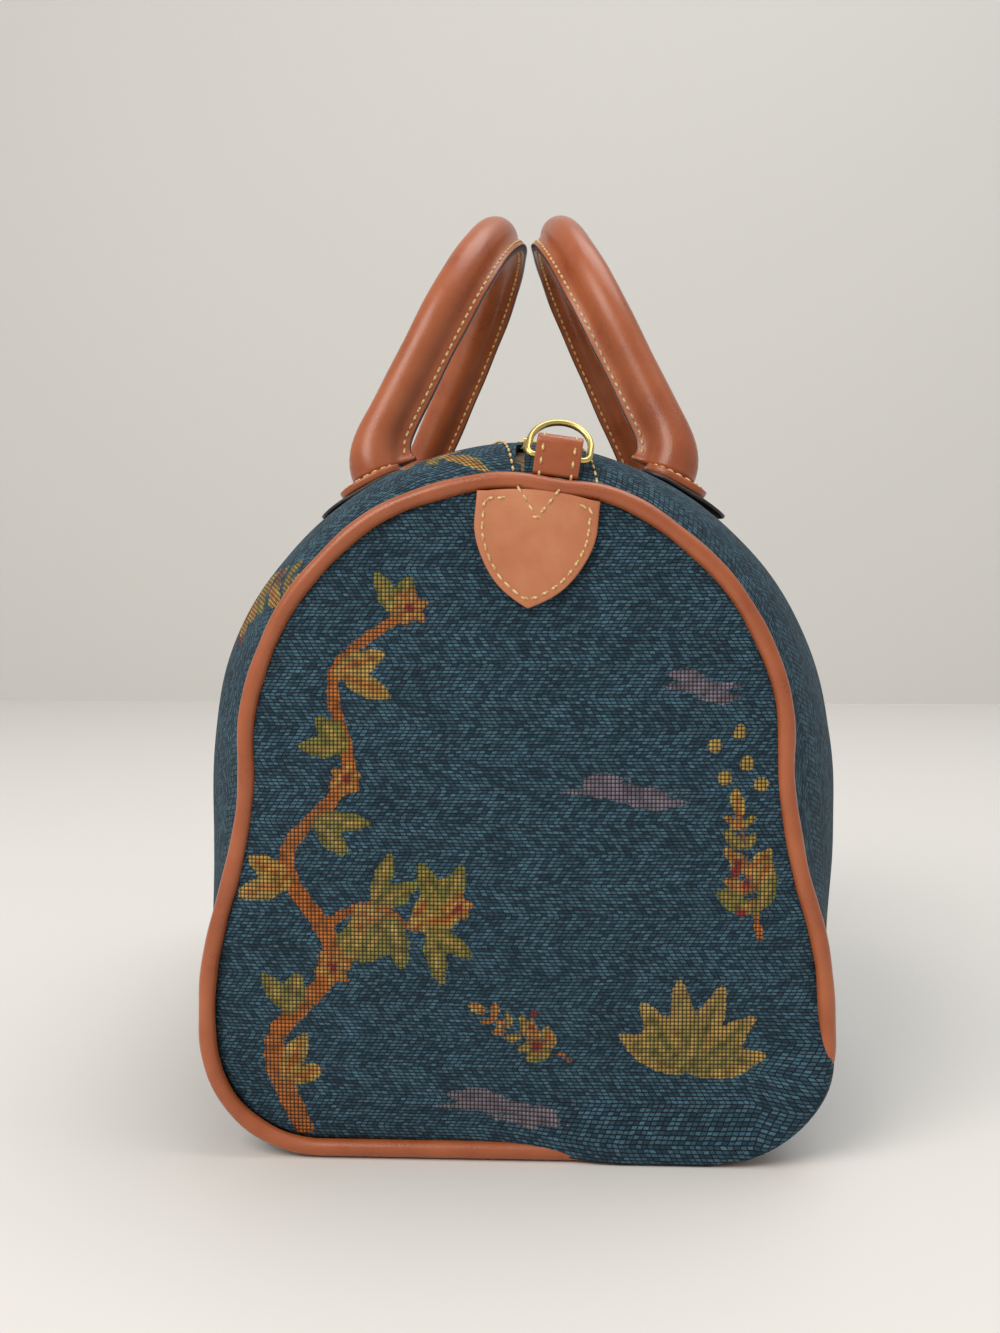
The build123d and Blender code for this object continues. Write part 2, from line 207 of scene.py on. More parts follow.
# %% [markdown]
# Every cloth piece is a grid of points, so one helper turns a grid into a mesh with a UV map in
# metres. A weave then keeps its real thread spacing however the cloth is bent.


# %% Mesh helpers
def link_object(name, data):
    """An object of the scene that holds the data."""
    obj = bpy.data.objects.new(name, data)
    bpy.context.scene.collection.objects.link(obj)
    return obj


def new_object(name, verts, faces, uv=None):
    """A mesh object from points in millimetres, with an optional UV for each point."""
    mesh = bpy.data.meshes.new(name)
    mesh.from_pydata([tuple(v) for v in np.asarray(verts).reshape(-1, 3) * MM], [], faces)
    if uv is not None:
        layer = mesh.uv_layers.new(name="cloth")
        index = np.empty(len(mesh.loops), int)
        mesh.loops.foreach_get("vertex_index", index)
        layer.data.foreach_set("uv", (np.asarray(uv).reshape(-1, 2) * MM)[index].ravel())
    mesh.shade_smooth()
    return link_object(name, mesh)


def grid_faces(rows, columns, wrap=False, flip=False):
    """Quads of a rows by columns grid of points."""
    faces = []
    last = columns if wrap else columns - 1
    for r in range(rows - 1):
        for c in range(last):
            d = (c + 1) % columns
            quad = (r * columns + c, r * columns + d, (r + 1) * columns + d, (r + 1) * columns + c)
            faces.append(quad[::-1] if flip else quad)
    return faces


def outward(obj):
    """Recalculates the normals of a closed mesh."""
    bm = bmesh.new()
    bm.from_mesh(obj.data)
    bmesh.ops.recalc_face_normals(bm, faces=bm.faces)
    bm.to_mesh(obj.data)
    bm.free()


def apply_modifiers(obj):
    """Turns the evaluated object into its plain mesh."""
    graph = bpy.context.evaluated_depsgraph_get()
    mesh = bpy.data.meshes.new_from_object(obj.evaluated_get(graph))
    obj.modifiers.clear()
    obj.data = mesh
    obj.data.shade_smooth()


def thicken(obj, thickness):
    """Gives a sheet its thickness, inwards from its face."""
    wall = obj.modifiers.new("thickness", "SOLIDIFY")
    wall.thickness = thickness * MM
    wall.offset = -1
    wall.use_even_offset = False
    apply_modifiers(obj)


# %% [markdown]
# Soft waves keep the cloth from looking like sheet metal. They are sums of a few fixed sine waves,
# so they are the same each run.


# %% Soft waves
def ripple(a, b, size, seed):
    """A smooth wave field over two coordinates in millimetres, within about -1 to 1."""
    rng = np.random.default_rng(seed)
    total = np.zeros(np.broadcast(a, b).shape)
    for _ in range(7):
        angle, phase = rng.uniform(0, 2 * math.pi, 2)
        wave = size * rng.uniform(0.6, 1.6)
        total += np.sin((a * math.cos(angle) + b * math.sin(angle)) * 2 * math.pi / wave + phase)
    return total / 4


# %% Cloth body, from one zip edge round the base to the other
ROWS, COLUMNS = 190, 400
# The rows follow a sine up to this share of a quarter turn, so they crowd towards the seams.
ROW_CROWDING = 0.86
SLOT_TAPER = 7


def slot_half(y):
    """Half the width left open for the zip at y."""
    over = abs(y) - ZIP_LENGTH / 2
    return SLOT_HALF * float(np.clip(1 - over / SLOT_TAPER, 0.01, 1))


def body_grid():
    """Points and cloth coordinates of the body's surface."""
    quarter = math.pi / 2 * ROW_CROWDING
    ys = SEAM_Y * np.sin(np.linspace(-1, 1, ROWS) * quarter) / math.sin(quarter)
    points, coords = [], []
    for y in ys:
        half = slot_half(y)
        ring, run = resample(whole_outline(y), COLUMNS, half + TOP_SHIFT, half - TOP_SHIFT)
        points.append(np.column_stack([ring[:, 0], np.full(COLUMNS, y), ring[:, 1]]))
        coords.append(np.column_stack([run - run.mean(), np.full(COLUMNS, y)]))
    return np.array(points), np.array(coords)


# How far from each hold the cloth is free again, and how long its waves are
SEAM_HOLD, FLOOR_HOLD, ZIP_HOLD = 30, 40, 60
BROAD_WAVE, FINE_WAVE, PUCKER_PITCH = 95, 42, 17


def settle_body(points, coords):
    """Adds folds and slack: nothing at the seams, the zip or the floor, most on the sides."""
    y, z, around = points[..., 1], points[..., 2], coords[..., 0]
    away = points - np.array([0, 0, BELLY_HEIGHT / 2])
    away[..., 1] = 0
    away /= np.linalg.norm(away, axis=-1, keepdims=True)
    from_seam = SEAM_Y - np.abs(y)
    free = np.clip(from_seam / SEAM_HOLD, 0, 1) * np.clip(z / FLOOR_HOLD, 0, 1)
    free *= np.clip(np.abs(around) / -ZIP_HOLD + around.max() / ZIP_HOLD, 0, 1)
    wave = ripple(around, y, BROAD_WAVE, 5) * 0.9 + ripple(around, y, FINE_WAVE, 9) * 0.25
    pucker = np.sin(around * 2 * math.pi / PUCKER_PITCH + np.sin(around / 23) * 2)
    pucker = pucker * np.exp(-from_seam / 7) * np.clip(from_seam / 2.5, 0, 1)
    lift = (wave - 0.9) * free + pucker * 0.35 * np.clip(z / 12, 0, 1)
    return points + away * lift[..., None]


body_points, body_coords = body_grid()
body_points = settle_body(body_points, body_coords)
body = new_object("cloth_body", body_points, grid_faces(ROWS, COLUMNS), body_coords)
print("cloth body", len(body.data.polygons), "faces")


# %% End panels: shallow domes inside the piping
PANEL_ROWS, PANEL_COLUMNS = 175, 165
PANEL_CROWDING = 0.93
# The slack at the lower right of the near end: where it starts, and how softly.
FOLD_TOP, FOLD_FADE = 56, 34
FOLD_START, FOLD_RAMP = -14, 46
FOLD_OUT, FOLD_DOWN = 4.6, 4.1


def end_half_width(z, inset):
    """Half the width of the end outline at height z."""
    z = min(max(z, inset), end_point(7, inset)[1])
    if z > CROWN_Z:
        return math.sqrt(max((CROWN_RADIUS - inset) ** 2 - (z - CROWN_Z) ** 2, 0))
    if z > CORNER_RADIUS + WAIST_DROP / 2:
        return CROWN_RADIUS + WAIST_RADIUS - math.sqrt((WAIST_RADIUS + inset) ** 2 - (z - CROWN_Z) ** 2)
    if z > CORNER_RADIUS:
        return HIP - WAIST_RADIUS + math.sqrt((WAIST_RADIUS - inset) ** 2 - (z - CORNER_RADIUS) ** 2)
    return CORNER_X + math.sqrt(max((CORNER_RADIUS - inset) ** 2 - (z - CORNER_RADIUS) ** 2, 0))


def dome(x, z):
    """How far from mid length the end panel's face lies."""
    half = END_HEIGHT / 2
    radius = (half**2 + END_DOME**2) / (2 * END_DOME)
    return np.sqrt(radius**2 - x**2 - (z - half) ** 2) - radius + LENGTH / 2


def end_panel_grid(inset):
    """Flat points inside the end outline, row by row from the base, closer together near the top."""
    height = end_point(7, inset)[1] - 0.05 - inset
    quarter = math.pi / 2 * PANEL_CROWDING
    zs = inset + height * np.sin(np.linspace(0, 1, PANEL_ROWS) * quarter) / math.sin(quarter)
    grid = []
    for z in zs:
        half = end_half_width(z, inset)
        xs = np.linspace(-half, half, PANEL_COLUMNS)
        grid.append(np.column_stack([xs, np.zeros(PANEL_COLUMNS), np.full(PANEL_COLUMNS, z)]))
    return np.array(grid)


def fold_over_piping(points, x, z, edge):
    """Lets the slack cloth at the lower right of the near end hang over the piping."""
    low = np.clip((FOLD_TOP - z) / FOLD_FADE, 0, 1) * np.clip((x - FOLD_START) / FOLD_RAMP, 0, 1)
    low = low * low * (3 - 2 * low)
    at_edge = np.exp(-(np.clip(edge - 1, 0, None) / 9) ** 2) * low
    away_x = np.clip(x - CORNER_X, 0, None)
    away_z = np.clip(z - CORNER_RADIUS, None, 0)
    reach = np.hypot(away_x, away_z) + 0.01
    points = points.copy()
    points[..., 0] += at_edge * away_x / reach * FOLD_OUT
    points[..., 2] += at_edge * away_z / reach * FOLD_DOWN
    # The fold lies just in front of the piping and curls back at its rim.
    front = -(PIPING_Y + PIPING_RADIUS + CLOTH) + 2.2 * np.exp(-np.clip(edge, 0, None) / 0.9)
    share = low * np.exp(-(np.clip(edge - 4, 0, None) / 11) ** 2)
    points[..., 1] = points[..., 1] * (1 - share) + front * share
    return points


def make_end_panel(name, end):
    """The panel at one end: -1 is near, 1 is far."""
    inset = PIPING_RADIUS * 2 - 0.7
    points = end_panel_grid(inset)
    x, z = points[..., 0].copy(), points[..., 2].copy()
    edge = np.array([[min(end_half_width(h, inset) - abs(a), h - inset + 1, END_HEIGHT - inset - h + 4)
                      for a, h in zip(row_x, row_z)] for row_x, row_z in zip(x, z)])
    rise = 1 - np.exp(-np.clip(edge, 0, None) / 4)
    wave = ripple(x, z, 80, 21 if end < 0 else 33) * 0.5 - 0.5
    face = dome(x, z) + wave * np.clip(edge / 25, 0, 1) - (1 - rise) * 1.3
    points[..., 1] = end * face
    points[..., 2] += FLOOR_GAP
    if end < 0:
        points = fold_over_piping(points, x, z, edge)
    coords = np.stack([x * -end, z], -1)
    obj = new_object(name, points, grid_faces(PANEL_ROWS, PANEL_COLUMNS, flip=end > 0), coords)
    return obj, x * -end, z


panel_near, near_x, near_z = make_end_panel("end_cloth_near", -1)
panel_far, far_x, far_z = make_end_panel("end_cloth_far", 1)
print("end panels", len(panel_near.data.polygons), "faces each")

# %% [markdown]
# The cloth is a jacquard: where the picture is, weft threads of other colours come to the face. The
# picture is drawn here as leafy sprays from simple shapes, and kept as a colour on each point, as
# the points lie little farther apart than the threads of the real cloth.

# %% Thread colours
def linear(code):
    """An sRGB hex colour as linear RGB."""
    parts = [int(code[i:i + 2], 16) / 255 for i in (1, 3, 5)]
    return [c / 12.92 if c <= 0.04045 else ((c + 0.055) / 1.055) ** 2.4 for c in parts]


THREADS = {
    "rust": linear("#b4692f"),
    "ochre": linear("#b3934d"),
    "olive": linear("#7f7c3c"),
    "red": linear("#93322c"),
    "stone": linear("#77707c"),
}


# The thread of a leaf's middle vein
VEIN = {"olive": "ochre", "ochre": "rust"}


# %% Shapes of the woven picture
class Picture:
    """Woven colour over a field of points given by two coordinates in millimetres."""

    def __init__(self, a, b):
        self.a, self.b = a, b
        self.colour = np.zeros(a.shape + (3,))
        self.cover = np.full(a.shape, -3.0)

    def lay(self, depth, thread):
        """Puts a shape on top: depth is the distance inside its edge."""
        self.colour[(depth > 0) | (depth > self.cover)] = THREADS[thread]
        self.cover = np.maximum(self.cover, depth)

    def leaf(self, at, angle, length, width, thread, vein=None):
        """A pointed leaf from its stalk end."""
        c, s = math.cos(angle), math.sin(angle)
        u = (self.a - at[0]) * c + (self.b - at[1]) * s
        v = -(self.a - at[0]) * s + (self.b - at[1]) * c
        share = np.clip(u / length, 0, 1)
        depth = width / 2 * np.sin(share * math.pi) ** 0.8 - np.abs(v)
        depth = np.where((u < 0) | (u > length), -3, depth)
        self.lay(depth, thread)
        if vein:
            line = np.where((u > length * 0.12) & (u < length * 0.8), 0.7 - np.abs(v), -3)
            self.lay(np.minimum(line, depth), vein)

    def spot(self, at, radius, thread):
        self.lay(radius - np.hypot(self.a - at[0], self.b - at[1]), thread)

    def stem(self, points, start_width, end_width, thread):
        """A stem through points that thins along its length."""
        p = np.array(points, float)
        line = smooth_curve(p, p[1] - p[0], p[-1] - p[-2], 40)
        dense, run = resample(line, int(np.linalg.norm(np.diff(line, axis=0), axis=1).sum()) + 2)
        best = np.full(self.a.shape, -3.0)
        for (x, y), share in zip(dense, run / run[-1]):
            width = start_width + (end_width - start_width) * share
            best = np.maximum(best, width / 2 - np.hypot(self.a - x, self.b - y))
        self.lay(best, thread)
        return line

    def spray(self, at, angle, size, rng):
        """A sprig with a stem, leaves in pairs and a few berries."""
        c, s = math.cos(angle), math.sin(angle)

        def place(u, v):
            return at[0] + (u * c - v * s) * size, at[1] + (u * s + v * c) * size

        bend = rng.uniform(-0.25, 0.25)
        spine = [place(0, 0), place(0.5, bend * 0.6), place(1, bend)]
        line = self.stem(spine, size * 0.07, size * 0.03, "rust")
        for i in (8, 15, 22, 29, 36):
            tip = line[min(i + 1, 39)] - line[i]
            heading = math.atan2(tip[1], tip[0])
            for side in (-1, 1):
                thread = "olive" if rng.random() < 0.55 else "ochre"
                reach = size * rng.uniform(0.3, 0.42) * (1.15 - i / 60)
                spread = heading + side * rng.uniform(0.6, 0.95)
                self.leaf(line[i], spread, reach, reach * 0.42, thread, VEIN[thread])
        tip = line[-1] - line[-3]
        self.leaf(line[-1], math.atan2(tip[1], tip[0]), size * 0.3, size * 0.12, "ochre", "rust")
        for _ in range(4):
            u, v = rng.uniform(0.2, 0.9), rng.uniform(-0.32, 0.32)
            self.spot(place(u, v), size * 0.045, "red")

    def flower(self, at, size):
        """Six petals round a dark red eye."""
        for k in range(6):
            self.leaf(at, k * math.pi / 3 + 0.3, size, size * 0.62, "rust", "ochre")
        self.spot(at, size * 0.28, "red")

    def scroll(self, at, length, thread):
        """Short level bands, like drifting mist."""
        for i, (shift, drop, share) in enumerate(((0, 0, 1), (0.25, -3.2, 0.6), (-0.12, 3.1, 0.5))):
            u = (self.a - at[0] - shift * length) / (length * share / 2)
            depth = (1 - np.abs(u)) * 2.2 - np.abs(self.b - at[1] - drop) * 0.9
            self.lay(np.clip(depth, -3, 2), thread)


def store_picture(obj, picture):
    """Keeps the picture on the mesh: colour in RGB, distance inside the edge in alpha."""
    layer = obj.data.color_attributes.new("picture", "FLOAT_COLOR", "POINT")
    alpha = np.clip(picture.cover / 4 + 0.5, 0, 1)
    rgba = np.dstack([picture.colour, alpha]).reshape(-1, 4)
    layer.data.foreach_set("color", rgba.ravel())


# %% The picture on the end panels
def end_picture(x, z, seed):
    """A leafy vine with flowers up the left side, a fan of leaves low on the right, and mist."""
    rng = np.random.default_rng(seed)
    art = Picture(x, z)
    art.scroll((30, 108), 40, "stone")
    art.scroll((-6, 16), 44, "stone")
    art.scroll((52, 138), 26, "stone")
    vine_points = [(-62, 8), (-70, 34), (-52, 58), (-66, 88), (-48, 112), (-52, 140), (-30, 160)]
    vine = art.stem(vine_points, 6.5, 3, "rust")
    shoot = art.stem([(-57, 68), (-40, 74), (-26, 68), (-16, 74)], 3.6, 2, "rust")
    for line, start in ((vine, 3), (shoot, 10)):
        for count, i in enumerate(range(start, 40, 5)):
            tip = line[min(i + 1, 39)] - line[i - 1]
            heading = math.atan2(tip[1], tip[0]) + (1.1 if count % 2 else -1.1)
            for fan in (-0.5, 0.25):
                thread = "olive" if count % 3 else "ochre"
                length, width = rng.uniform(13, 19), rng.uniform(5.5, 7.5)
                art.leaf(line[i], heading + fan, length, width, thread, VEIN[thread])
    for at, size in ((vine[12], 6.5), (vine[26], 5.5), (vine[39], 6), (shoot[39], 5)):
        art.flower(at, size)
    fan_foot = (50, 26)
    for angle in (15, 42, 69, 96, 123, 150):
        art.leaf(fan_foot, math.radians(angle), 30 - abs(angle - 82) * 0.1, 8.5, "ochre", "olive")
    for angle in (28, 82, 136):
        art.leaf(fan_foot, math.radians(angle), 17, 5, "olive", "ochre")
    art.spray((70, 66), math.radians(98), 34, rng)
    art.spray((16, 30), math.radians(150), 26, rng)
    for at in ((60, 112), (66, 116), (57, 121), (64, 125), (70, 110)):
        art.spot(at, 2.2, "ochre")
    return art


store_picture(panel_near, end_picture(near_x, near_z, 3))
store_picture(panel_far, end_picture(far_x, far_z, 4))


# %% The picture round the body
def body_picture(a, b, seed):
    """Sprays at uneven places over the whole strip of cloth."""
    rng = np.random.default_rng(seed)
    art = Picture(a, b)
    width, length = a.max() - a.min(), 2 * SEAM_Y
    columns, rows = 8, 4
    for i in range(columns):
        for j in range(rows):
            at = (a.min() + (i + 0.5 + rng.uniform(-0.25, 0.25)) * width / columns,
                  -SEAM_Y + (j + 0.5 + (i % 2) * 0.4 + rng.uniform(-0.2, 0.2)) * length / rows)
            kind = (i + 2 * j) % 4
            if kind == 0:
                art.scroll(at, rng.uniform(24, 36), "stone")
            elif kind == 1:
                for angle in (20, 55, 90, 125, 160):
                    art.leaf(at, math.radians(angle + i * 20), rng.uniform(17, 24), 6.5, "ochre", "olive")
            else:
                art.spray(at, rng.uniform(0, 2 * math.pi), rng.uniform(34, 52), rng)
    return art


store_picture(body, body_picture(body_coords[..., 0], body_coords[..., 1], 11))
print("woven picture stored")

# %% [markdown]
# Shader trees are built with a few small helpers. Each material is named for the real stuff, with its
# colours as sRGB hex and its pattern at its real scale.


# %% Node helpers
def fill(tree, node, **inputs):
    """Sets or links a node's inputs, each given by its name or as i and its number."""
    for key, value in inputs.items():
        numbered = key[0] == "i" and key[1:].isdigit()
        socket = node.inputs[int(key[1:]) if numbered else key.replace("_", " ")]
        if isinstance(value, bpy.types.NodeSocket):
            tree.links.new(value, socket)
        else:
            socket.default_value = value
    return node


def add_node(tree, kind, settings=None, **inputs):
    """Adds a node, sets its properties and fills its inputs."""
    node = tree.nodes.new(kind)
    for key, value in (settings or {}).items():
        setattr(node, key, value)
    return fill(tree, node, **inputs)


def compute(tree, operation, *values):
    """The result of a Math node."""
    inputs = {"i%d" % i: value for i, value in enumerate(values)}
    return add_node(tree, "ShaderNodeMath", {"operation": operation}, **inputs).outputs[0]


def noise(tree, place, scale, detail, **more):
    """The level of a noise texture."""
    return add_node(tree, "ShaderNodeTexNoise", Vector=place, Scale=scale, Detail=detail, **more).outputs[0]


def remap(tree, level, low, high, to_low=0.0, to_high=1.0):
    """A level stretched from one range to another."""
    return add_node(tree, "ShaderNodeMapRange", Value=level, From_Min=low, From_Max=high,
                    To_Min=to_low, To_Max=to_high).outputs[0]


def mix_colour(tree, share, first, second, blend="MIX"):
    """Two colours mixed by a share."""
    return add_node(tree, "ShaderNodeMix", {"data_type": "RGBA", "blend_type": blend},
                    i0=share, i6=first, i7=second).outputs[2]


def bump(tree, strength, distance, height):
    """A surface roughened by a height."""
    return add_node(tree, "ShaderNodeBump", Strength=strength, Distance=distance, Height=height).outputs[0]


def blank_material(name):
    """A material with a fresh Principled shader."""
    mat = bpy.data.materials.new(name)
    mat.use_nodes = True
    tree = mat.node_tree
    tree.nodes.clear()
    shader = add_node(tree, "ShaderNodeBsdfPrincipled")
    add_node(tree, "ShaderNodeOutputMaterial", Surface=shader.outputs[0])
    return mat, tree, shader


def rgba(code):
    return (*linear(code), 1)


# %% Denim jacquard: dark blue cotton with pale weft flecks, matt, with a picture woven in
# One weft float, the twill's slope and where it turns back, and the picture's threads, in metres
FLOAT_LENGTH, FLOAT_WIDTH = 0.0017, 0.00095
TWILL_SLOPE, TWILL_TURN = 0.62, 0.009
PICTURE_PITCH = 0.00115


def denim_jacquard():
    mat, tree, shader = blank_material("denim_jacquard_cotton")
    uv = add_node(tree, "ShaderNodeUVMap", {"uv_map": "cloth"}).outputs[0]
    split = add_node(tree, "ShaderNodeSeparateXYZ", Vector=uv).outputs
    # Each grain is one weft float. A step aside in each row makes the twill.
    back = compute(tree, "PINGPONG", split[1], TWILL_TURN)
    twill = compute(tree, "MULTIPLY_ADD", back, TWILL_SLOPE, split[0])
    stepped = add_node(tree, "ShaderNodeCombineXYZ", X=twill, Y=split[1])
    warp = add_node(tree, "ShaderNodeTexNoise", Vector=uv, Scale=650, Detail=1)
    shifted = add_node(tree, "ShaderNodeVectorMath", {"operation": "MULTIPLY_ADD"},
                       i0=warp.outputs["Color"], i1=(0.0007, 0.0004, 0), i2=stepped.outputs[0])
    grain = add_node(tree, "ShaderNodeTexBrick", {"offset": 0.0, "squash": 1}, Vector=shifted.outputs[0],
                     Color1=rgba("#1f3a49"), Color2=rgba("#4a6f80"), Mortar=rgba("#0c1822"),
                     Scale=1, Mortar_Size=0.0002, Mortar_Smooth=0.8, Bias=-0.1,
                     Brick_Width=FLOAT_LENGTH, Row_Height=FLOAT_WIDTH)
    worn = remap(tree, noise(tree, uv, 90, 6, Roughness=0.7), 0.35, 0.7, 0.72, 1.2)
    ground = mix_colour(tree, 1.0, grain.outputs["Color"], worn, "MULTIPLY")
    # The picture's threads cross squarely, and show as rows of dots.
    waves = []
    for axis in (0, 1):
        turns = compute(tree, "MULTIPLY", split[axis], math.pi / PICTURE_PITCH)
        waves.append(compute(tree, "ABSOLUTE", compute(tree, "SINE", turns)))
    dots = compute(tree, "MULTIPLY", *waves)
    picture = add_node(tree, "ShaderNodeAttribute", {"attribute_name": "picture"})
    patchy = noise(tree, uv, 300, 2)
    tone = remap(tree, patchy, 0.3, 0.7, 0.55, 1.35)
    thread = mix_colour(tree, 1.0, picture.outputs["Color"], tone, "MULTIPLY")
    knot = mix_colour(tree, remap(tree, dots, 0.05, 0.55), rgba("#2b211b"), thread)
    rough_edge = compute(tree, "MULTIPLY_ADD", patchy, 0.55, picture.outputs["Alpha"])
    inside = remap(tree, rough_edge, 0.76, 0.86)
    gaps = compute(tree, "SUBTRACT", 1.0, grain.outputs["Fac"])
    relief = add_node(tree, "ShaderNodeMix", {"data_type": "FLOAT"}, i0=inside, i2=gaps, i3=dots)
    fill(tree, shader, Base_Color=mix_colour(tree, inside, ground, knot),
         Normal=bump(tree, 0.9, 0.0005, relief.outputs[0]),
         Roughness=0.88, Sheen_Weight=0.04, Specular_IOR_Level=0.25)
    return mat


# %% Leather: vegetable-tanned cowhide with a fine pore grain and a waxy shine
def cowhide(name, base, dark, light, roughness, grain_mm=0.9):
    mat, tree, shader = blank_material(name)
    place = add_node(tree, "ShaderNodeTexCoord").outputs["Object"]
    pores = add_node(tree, "ShaderNodeTexVoronoi", {"feature": "DISTANCE_TO_EDGE"}, Vector=place,
                     Scale=1000 / grain_mm)
    mottle = noise(tree, place, 60, 6, Roughness=0.55)
    ramp = add_node(tree, "ShaderNodeValToRGB", Fac=mottle)
    steps = ramp.color_ramp.elements
    steps[0].position, steps[0].color = 0.3, rgba(dark)
    steps[1].position, steps[1].color = 0.72, rgba(light)
    steps.new(0.5).color = rgba(base)
    crease = remap(tree, pores.outputs[0], 0, 0.12)
    height = compute(tree, "MULTIPLY_ADD", crease, 0.5, noise(tree, place, 900, 2))
    rub = remap(tree, mottle, 0.3, 0.7, roughness - 0.08, roughness + 0.1)
    fill(tree, shader, Base_Color=ramp.outputs[0], Roughness=rub,
         Normal=bump(tree, 0.25, 0.0002, height), Coat_Weight=0.12, Coat_Roughness=0.3)
    return mat


# %% Plain finishes: brass, and spun or woven fibre
def polished_brass():
    """Polished brass with faint rubbing marks."""
    mat, tree, shader = blank_material("polished_brass")
    marks = noise(tree, add_node(tree, "ShaderNodeTexCoord").outputs["Object"], 700, 3)
    fill(tree, shader, Base_Color=mix_colour(tree, marks, rgba("#e2cc86"), rgba("#c9ad62")),
         Roughness=remap(tree, marks, 0, 1, 0.16, 0.34), Metallic=1)
    return mat


def twisted_fibre(name, light, dark, pitch_mm, roughness=0.75):
    """Spun thread or woven tape: fine slanting strands."""
    mat, tree, shader = blank_material(name)
    place = add_node(tree, "ShaderNodeTexCoord").outputs["Object"]
    strands = add_node(tree, "ShaderNodeTexWave", {"bands_direction": "DIAGONAL"}, Vector=place,
                       Scale=1000 / pitch_mm / 6.28, Distortion=1.5).outputs["Fac"]
    fill(tree, shader, Base_Color=mix_colour(tree, strands, rgba(dark), rgba(light)),
         Normal=bump(tree, 0.5, 0.0002, strands), Roughness=roughness)
    return mat


MATERIALS = {
    "denim": denim_jacquard(),
    "tan": cowhide("waxed_tan_cowhide", "#a4552c", "#964a25", "#ae5f35", 0.31),
    "tab": cowhide("rubbed_tan_cowhide", "#bd744c", "#b26840", "#c9835b", 0.48, 0.7),
    "black": cowhide("black_edge_paint", "#181412", "#0e0b0a", "#2a2320", 0.42),
    "brass": polished_brass(),
    "thread": twisted_fibre("linen_thread", "#e9cf98", "#bd975a", 0.5),
    "tape": twisted_fibre("woven_zip_tape", "#2b3a48", "#141d27", 0.7, 0.9),
    "lining": twisted_fibre("plain_cotton_lining", "#9c8463", "#6f5a41", 0.8, 0.9),
    "cord": twisted_fibre("cotton_filler_cord", "#cfc3a4", "#94866a", 1.6, 0.9),
}


def dress(obj, *keys):
    """Gives an object its materials."""
    obj.data.materials.clear()
    for key in keys:
        obj.data.materials.append(MATERIALS[key])


# %% Finish the cloth pieces
cloth = ((body, ["body_panel"]), (panel_near, ["end_panel_near"]), (panel_far, ["end_panel_far"]))
for piece, nodes in cloth:
    thicken(piece, CLOTH)
    dress(piece, "denim")
    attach(piece, "bag")
    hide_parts(*nodes)
    print(piece.name, len(piece.data.polygons), "faces")

# %% [markdown]
# Piping, rolled handles and strap loops are a section drawn along a path. One helper does the drawing:
# it is given a path, a direction for the section's first axis, and the section at each place.


# %% Draw a section along a path
def unit(v):
    return v / np.linalg.norm(v, axis=-1, keepdims=True)


def tangents(path, closed):
    if closed:
        return unit(np.roll(path, -1, 0) - np.roll(path, 1, 0))
    return unit(np.gradient(path, axis=0))


def draw_along(name, path, first, sections, closed=False):
    """A tube whose section at path[i] is sections[i], an array of points in (first, second) axes."""
    path = np.asarray(path, float)
    along = tangents(path, closed)
    first = np.broadcast_to(np.asarray(first, float), path.shape)
    first = unit(first - along * (first * along).sum(-1, keepdims=True))
    second = np.cross(along, first)
    ring = np.array([p + s[:, :1] * f + s[:, 1:] * g for p, s, f, g in zip(path, sections, first, second)])
    count, size = ring.shape[:2]
    verts = ring.reshape(-1, 3)
    faces = grid_faces(count, size, wrap=True)
    last = (count - 1) * size
    pairs = [(c, (c + 1) % size) for c in range(size)]
    if closed:
        faces += [(last + c, last + d, d, c) for c, d in pairs]
    else:
        verts = np.vstack([verts, ring[0].mean(0), ring[-1].mean(0)])
        base, tip = len(verts) - 2, len(verts) - 1
        faces += [(base, d, c) for c, d in pairs] + [(tip, last + c, last + d) for c, d in pairs]
    obj = new_object(name, verts, faces)
    outward(obj)
    return obj


def round_section(radius, sides=20):
    angles = np.linspace(0, 2 * math.pi, sides, endpoint=False)
    return np.column_stack([np.cos(angles), np.sin(angles)]) * radius


# %% Piping: a leather strip sewn over a cord, following the D of each end
def end_outline(inset, count):
    """The end outline as a closed line in X and Z, starting at the middle of the base."""
    right = np.array([end_point(s, inset) for s in np.linspace(0, 7, 200)])
    base = np.linspace([0, inset], right[0], 20)[:-1]
    half = np.vstack([base, right])
    whole = np.vstack([half, (half * [-1, 1])[::-1][1:]])
    ring, _ = resample(whole, count + 1)
    return ring[:-1]


def make_piping(end, name):
    """The piping is never quite even: it swells and dips by tenths of a millimetre."""
    count = 260
    ring = end_outline(PIPING_RADIUS, count)
    at = np.arange(count) / count * 2 * math.pi
    wobble = 0.25 * np.sin(at * 9 + 1) + 0.18 * np.sin(at * 17 + 4)
    on_floor = np.clip((ring[:, 1] - PIPING_RADIUS) / 8, 0, 1)
    pull = ring - [0, CROWN_Z]
    ring = ring + unit(pull) * (wobble * on_floor)[:, None]
    if end < 0:
        # The strap loop pulls the piping down a little where it is sewn in.
        dip = np.exp(-((ring[:, 0] - NEAR_LOOP_SHIFT) / 9) ** 2) * (ring[:, 1] > CROWN_Z)
        ring[:, 1] -= 1.3 * dip
    path = np.column_stack([ring[:, 0], np.full(count, end * PIPING_Y), ring[:, 1] + FLOOR_GAP])
    width = PIPING_RADIUS * (1 + 0.03 * np.sin(at * 23) + 0.02 * np.sin(at * 41 + 2))
    width = np.where(on_floor > 0, width, PIPING_RADIUS)
    sections = [round_section(w, 18) for w in width]
    piece = draw_along("leather_piping_" + name, path, (0, 1, 0), sections, closed=True)
    dress(piece, "tan")
    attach(piece, "bag")
    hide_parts("piping_" + name)
    return piece


for end, name in ((-1, "near"), (1, "far")):
    print(make_piping(end, name).name)

